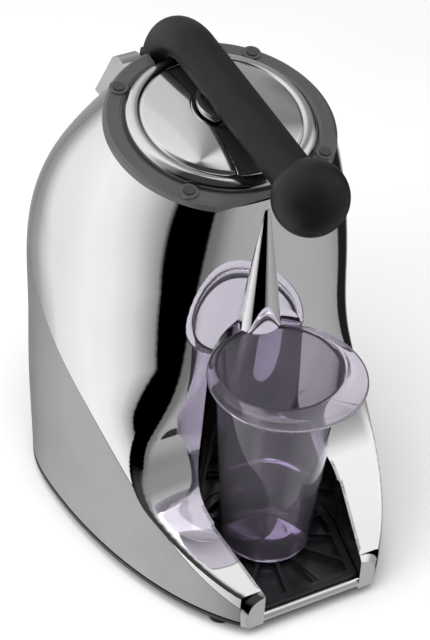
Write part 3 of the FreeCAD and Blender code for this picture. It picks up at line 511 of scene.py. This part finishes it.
def finished_loops(name, look, mesh, loops, measures, frame_matrix, body):
    """Closed skin over rings of points, cut by the measures, as a piece that rides on a body."""
    for low, high in zip(loops, loops[1:] + loops[:1]):
        for i in range(TURN_STEPS):
            j = (i + 1) % TURN_STEPS
            mesh.faces.new((low[i], low[j], high[j], high[i]))
    for measure in measures:
        keep_where(mesh, measure)
    bmesh.ops.remove_doubles(mesh, verts=mesh.verts, dist=0.00001)
    rims = [edge for edge in mesh.edges if edge.is_boundary]
    if rims:
        bmesh.ops.bridge_loops(mesh, edges=rims)
    bmesh.ops.recalc_face_normals(mesh, faces=mesh.faces)
    for face in mesh.faces:
        face.smooth = True
    mesh.transform(frame_matrix)
    data = bpy.data.meshes.new(name)
    mesh.to_mesh(data)
    mesh.free()
    made = bpy.data.objects.new(name, data)
    bpy.context.scene.collection.objects.link(made)
    data.materials.append(LOOKS[look])
    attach(made, body)
    return made


def turned_piece(name, look, profile, frame_matrix, body, measures=()):
    """Piece turned from a closed profile of (radius, height) points round its frame's Z axis."""
    mesh = bmesh.new()
    turns = [2 * math.pi * i / TURN_STEPS for i in range(TURN_STEPS)]
    loops = [[mesh.verts.new((radius * math.cos(t), radius * math.sin(t), height)) for t in turns]
             for radius, height in profile]
    return finished_loops(name, look, mesh, loops, measures, frame_matrix, body)


# The lid in the head's frame: a wide rolled rim, a crease and a low dome with a slot under the arm.
LID_SHEET = 0.0011
DOME_REACH = 0.055
DOME_LOW = 0.007
DOME_RISE = 0.011
CREASE = 0.0516
SLOT_HALF = 0.0148
SLOT_ROUND = 0.0203
DOME_HOLE = 0.004             # the dome starts here, under the hub
DOME_EDGE = 0.0511
DOME_ROWS = 30
RIM = (                       # radius and height, from the outer edge inwards to the crease
    (0.0613, 0.0034), (0.0611, 0.0046), (0.0605, 0.0058), (0.0595, 0.0069), (0.0581, 0.0078),
    (0.0565, 0.0084), (0.0549, 0.0086), (0.0536, 0.0084), (0.0526, 0.0079), (0.0520, 0.0074),
    (CREASE, 0.0073),
)


def dome_point(radius):
    """Profile point on the lid's dome."""
    sphere = (DOME_REACH ** 2 + DOME_RISE ** 2) / (2 * DOME_RISE)
    return (radius, DOME_LOW + DOME_RISE - sphere + math.sqrt(sphere ** 2 - radius ** 2))


def off_slot(co):
    """Positive on the sheet, negative in the slot under the arm and round the hub."""
    reach = math.hypot(co.x, co.y)
    return max(min(abs(co.x) - SLOT_HALF, reach - SLOT_ROUND), reach - CREASE)


lid_top = list(RIM) + [dome_point(radius) for radius in np.linspace(DOME_EDGE, DOME_HOLE, DOME_ROWS)]
lid_under = [(radius, height - LID_SHEET) for radius, height in reversed(lid_top)]
lid_skin = turned_piece("lid_skin", "lid_chrome", lid_top + lid_under, HEAD_FRAME, "lever", (off_slot,))
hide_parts("lid_dome")

# The cup: tapered wall with a rolled rim and a base ring, and an eccentric splash flange round it.
CUP_FRAME = Matrix.Translation(Vector((0, -0.086, 0.0185)))
CUP_PROFILE = (
    (0.0002, 0.0016), (0.0018, 0.0018), (0.0024, 0.0030), (0.0262, 0.0030), (0.0278, 0.0036),
    (0.0285, 0.0050), (0.0288, 0.0080), (0.0396, 0.1466), (0.0400, 0.1484), (0.0408, 0.1489),
    (0.0414, 0.1482), (0.0414, 0.1465), (0.0300, 0.0030), (0.0290, 0.0008), (0.0270, 0.0001),
    (0.0250, 0.0001), (0.0240, 0.0012), (0.0002, 0.0012),
)
cup_skin = turned_piece("cup_skin", "violet", CUP_PROFILE, CUP_FRAME, "cup")

FLANGE_INNER = 0.0416
FLANGE_RADIUS = 0.0519
FLANGE_SHIFT = -0.010
FLANGE_LOW = 0.1466
FLANGE_SECTION = (            # share of the way outwards, height over the flange's underside
    (0.0, 0.0), (0.94, 0.0), (0.99, 0.0004), (1.0, 0.0010), (0.99, 0.0016),
    (0.94, 0.0019), (0.90, 0.0015), (0.08, 0.0015), (0.04, 0.0019), (0.0, 0.0019),
)


def flange():
    """Flat ring that is wider in front of the cup than behind it."""
    mesh = bmesh.new()
    turns = [2 * math.pi * i / TURN_STEPS for i in range(TURN_STEPS)]
    loops = []
    for share, height in FLANGE_SECTION:
        radius = FLANGE_INNER + (FLANGE_RADIUS - FLANGE_INNER) * share
        shift = FLANGE_SHIFT * share
        z = FLANGE_LOW + height
        loops.append([mesh.verts.new((radius * math.cos(t), radius * math.sin(t) + shift, z)) for t in turns])
    return finished_loops("cup_flange", "violet", mesh, loops, (), CUP_FRAME, "cup")


flange()
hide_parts("juice_cup")

# Rounded edges on the cast pieces.
ROUNDING_STEPS = 3
SHARP_ANGLE = math.radians(35)
for name, width in (("hinge_saddle", 0.0030), ("front_trim", 0.0007), ("splash_ring", 0.0010)):
    rounding = nodes[name].modifiers.new("rounding", "BEVEL")
    rounding.width = width
    rounding.segments = ROUNDING_STEPS
    rounding.limit_method = "ANGLE"
    rounding.angle_limit = SHARP_ANGLE
    rounding.harden_normals = True

# ---------------------------------------------------------------- studio

FLOOR_HALF = 6.0


def floor():
    mesh = bpy.data.meshes.new("studio_floor")
    half = FLOOR_HALF
    corners = [(-half, -half, 0), (half, -half, 0), (half, half, 0), (-half, half, 0)]
    mesh.from_pydata(corners, [], [(0, 1, 2, 3)])
    made = bpy.data.objects.new("studio_floor", mesh)
    bpy.context.scene.collection.objects.link(made)
    look, graph, shader = material("floor", grey(0.9), 0.9)
    shade = graph.ramp(graph.noise(3, 2), ((0.3, grey(0.88)), (0.7, grey(0.92))))
    graph.link(shade, shader.inputs["Base Color"])
    mesh.materials.append(look)
    made.visible_glossy = False
    return made


def compass(stops):
    """Stops of a ramp round the horizon from (degrees to the right of the front, brightness)."""
    return [((degrees + 180) / 360, grey(value)) for degrees, value in stops]


# What polished metal sees round the horizon: a long white panel on the left, a black gap
# in front of it, an even grey front and a narrow black edge on the right.
LOW_RING = compass((
    (-180, 0.28), (-164, 0.42), (-148, 0.95), (-110, 1.14), (-88, 1.08), (-70, 0.84), (-59, 0.52),
    (-53, 0.34), (-51, 0.0), (4, 0.0), (7, 0.19), (14, 0.22), (24, 0.44), (35, 0.52), (70, 0.44),
    (93, 0.38), (103, 0.36), (106, 0.015), (128, 0.015), (136, 0.45), (160, 0.40), (180, 0.28),
))
# The same higher up, where the light panels hang.
HIGH_RING = compass((
    (-180, 0.85), (-140, 1.0), (-80, 1.2), (-62, 0.5), (-46, 0.30), (-34, 0.06), (-8, 0.06),
    (8, 0.30), (25, 0.34), (50, 0.9), (75, 1.15), (95, 1.0), (110, 0.3), (140, 0.4), (165, 0.8),
    (180, 0.85),
))

# The gap's edges lean apart: towards the horizon it is wider on both sides. Shares of a full turn.
GAP_LEAN = 30 / 360
RIGHT_LEAN = 14 / 360
GAP_LEFT = (180 - 42) / 360
GAP_MIDDLE = (180 - 26) / 360
GAP_RIGHT = (180 - 4) / 360
GAP_END = (180 + 30) / 360


def surroundings():
    world = bpy.data.worlds.new("studio")
    bpy.context.scene.world = world
    world.use_nodes = True
    graph = Graph(world.node_tree)
    place = graph.add("TexCoord")
    split = graph.add("SeparateXYZ")
    graph.link(place.outputs["Generated"], split.inputs[0])
    turn = graph.math("ARCTAN2", split.outputs[0], graph.math("MULTIPLY", split.outputs[1], -1.0))
    turn = graph.math("ADD", graph.math("DIVIDE", turn, 2 * math.pi), 0.5)
    left_lean = graph.scaled(turn, GAP_LEFT, GAP_MIDDLE, GAP_LEAN, 0.0)
    right_lean = graph.math("MULTIPLY", graph.scaled(turn, GAP_MIDDLE, GAP_RIGHT, 0.0, RIGHT_LEAN),
                            graph.scaled(turn, GAP_RIGHT, GAP_END, 1.0, 0.0))
    lowness = graph.scaled(split.outputs[2], -0.46, -0.06, 0.0, 1.0)
    lean = graph.math("MULTIPLY", graph.math("SUBTRACT", left_lean, right_lean), lowness)
    turn = graph.math("ADD", turn, lean)
    low = graph.ramp(turn, LOW_RING)
    high = graph.ramp(turn, HIGH_RING)
    mix = graph.add("MixRGB")
    graph.link(graph.scaled(split.outputs[2], 0.05, 0.45, 0.0, 1.0), mix.inputs[0])
    graph.link(low, mix.inputs[1])
    graph.link(high, mix.inputs[2])
    back = world.node_tree.nodes["Background"]
    graph.link(mix.outputs[0], back.inputs[0])


def panel(name, place, target, width, height, power):
    """Soft rectangular light that points at a target."""
    lamp = bpy.data.lights.new(name, "AREA")
    lamp.shape = "RECTANGLE"
    lamp.size = width
    lamp.size_y = height
    lamp.energy = power
    made = bpy.data.objects.new(name, lamp)
    made.location = place
    made.rotation_euler = (Vector(target) - Vector(place)).to_track_quat("-Z", "Y").to_euler()
    made.visible_glossy = False
    bpy.context.scene.collection.objects.link(made)


floor()
surroundings()
panel("light_top", (-0.5, -0.4, 1.9), (0, 0, 0.1), 1.6, 1.6, 30)
panel("light_left", (-1.6, -0.5, 1.0), (0, 0, 0.15), 1.2, 1.2, 12)

# ---------------------------------------------------------------- camera

CAMERA_PLACE = Vector((-0.64135, -1.05484, 1.16355))
CAMERA_TURN = math.radians(-31.36)
CAMERA_DIP = math.radians(-39.63)
CAMERA_ROLL = math.radians(4.02)
LENS = 135.0


def camera():
    data = bpy.data.cameras.new("camera")
    data.lens = LENS
    data.sensor_width = 36.0
    made = bpy.data.objects.new("camera", data)
    out = math.cos(CAMERA_DIP)
    forward = Vector((-math.sin(CAMERA_TURN) * out, math.cos(CAMERA_TURN) * out, math.sin(CAMERA_DIP)))
    level = Vector((math.cos(CAMERA_TURN), math.sin(CAMERA_TURN), 0))
    upright = level.cross(forward)
    right = level * math.cos(CAMERA_ROLL) + upright * math.sin(CAMERA_ROLL)
    up = upright * math.cos(CAMERA_ROLL) - level * math.sin(CAMERA_ROLL)
    turn = Matrix((right, up, -forward)).transposed()
    made.matrix_world = Matrix.Translation(CAMERA_PLACE) @ turn.to_4x4()
    bpy.context.scene.collection.objects.link(made)
    bpy.context.scene.camera = made


camera()
bpy.context.scene.view_settings.view_transform = "Standard"
